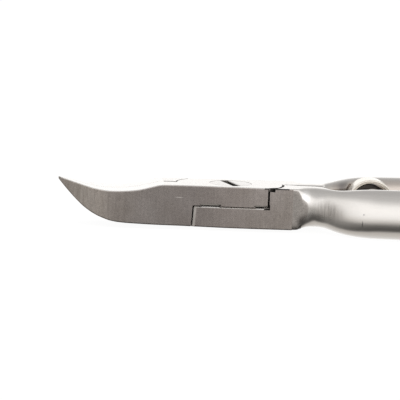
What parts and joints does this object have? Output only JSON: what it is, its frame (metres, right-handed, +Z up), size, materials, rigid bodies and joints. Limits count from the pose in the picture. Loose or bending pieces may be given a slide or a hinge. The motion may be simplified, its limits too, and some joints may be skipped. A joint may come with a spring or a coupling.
{
  "type": "cuticle nipper",
  "caption": "Hand nipper with two lap-jointed steel halves, curved pointed cutting jaws, a slotted pivot screw, a volute spring between bowed handles and a folding handle lock.",
  "frame": {"origin": "under the middle of the closed tool, at the level of the surface it lies on", "axes": "+X along the tool from the jaw tips to the handle ends, +Y across it from the near handle to the far handle, +Z up along the pivot"},
  "size_m": [0.127, 0.0258, 0.0081],
  "materials": {
    "lower_half_steel": "fine brushed jaws and joint, satin handles",
    "upper_half_steel": "fine brushed jaws and joint, satin handles",
    "screw_steel": "ground flush with the joint",
    "spring_steel": "bright rolled strip",
    "stud_steel": "turned",
    "lever_steel": "satin sheet",
    "pin_steel": "turned"
  },
  "bodies": {
    "lower_body": {"lower_half": "lower_half_steel", "pivot_screw": "screw_steel", "near_spring_stud": "stud_steel", "volute_spring": "spring_steel", "lock_rivet": "pin_steel"},
    "upper_body": {"upper_half": "upper_half_steel", "far_spring_stud": "stud_steel", "catch_pin": "pin_steel"},
    "lock": {"lock_lever": "lever_steel"}
  },
  "joints": [
    {"name": "jaw_hinge", "type": "hinge", "parent": "lower_body", "child": "upper_body", "pos_m": [-0.036, 0, 0.0039], "axis": [0, 0, 1], "range_deg": [0, 22], "deforming": ["volute_spring"]},
    {"name": "lock_swing", "type": "hinge", "parent": "lower_body", "child": "lock", "pos_m": [0.056, -0.0082, 0.0039], "axis": [0, 0, 1], "range_deg": [-75, 0]}
  ]
}
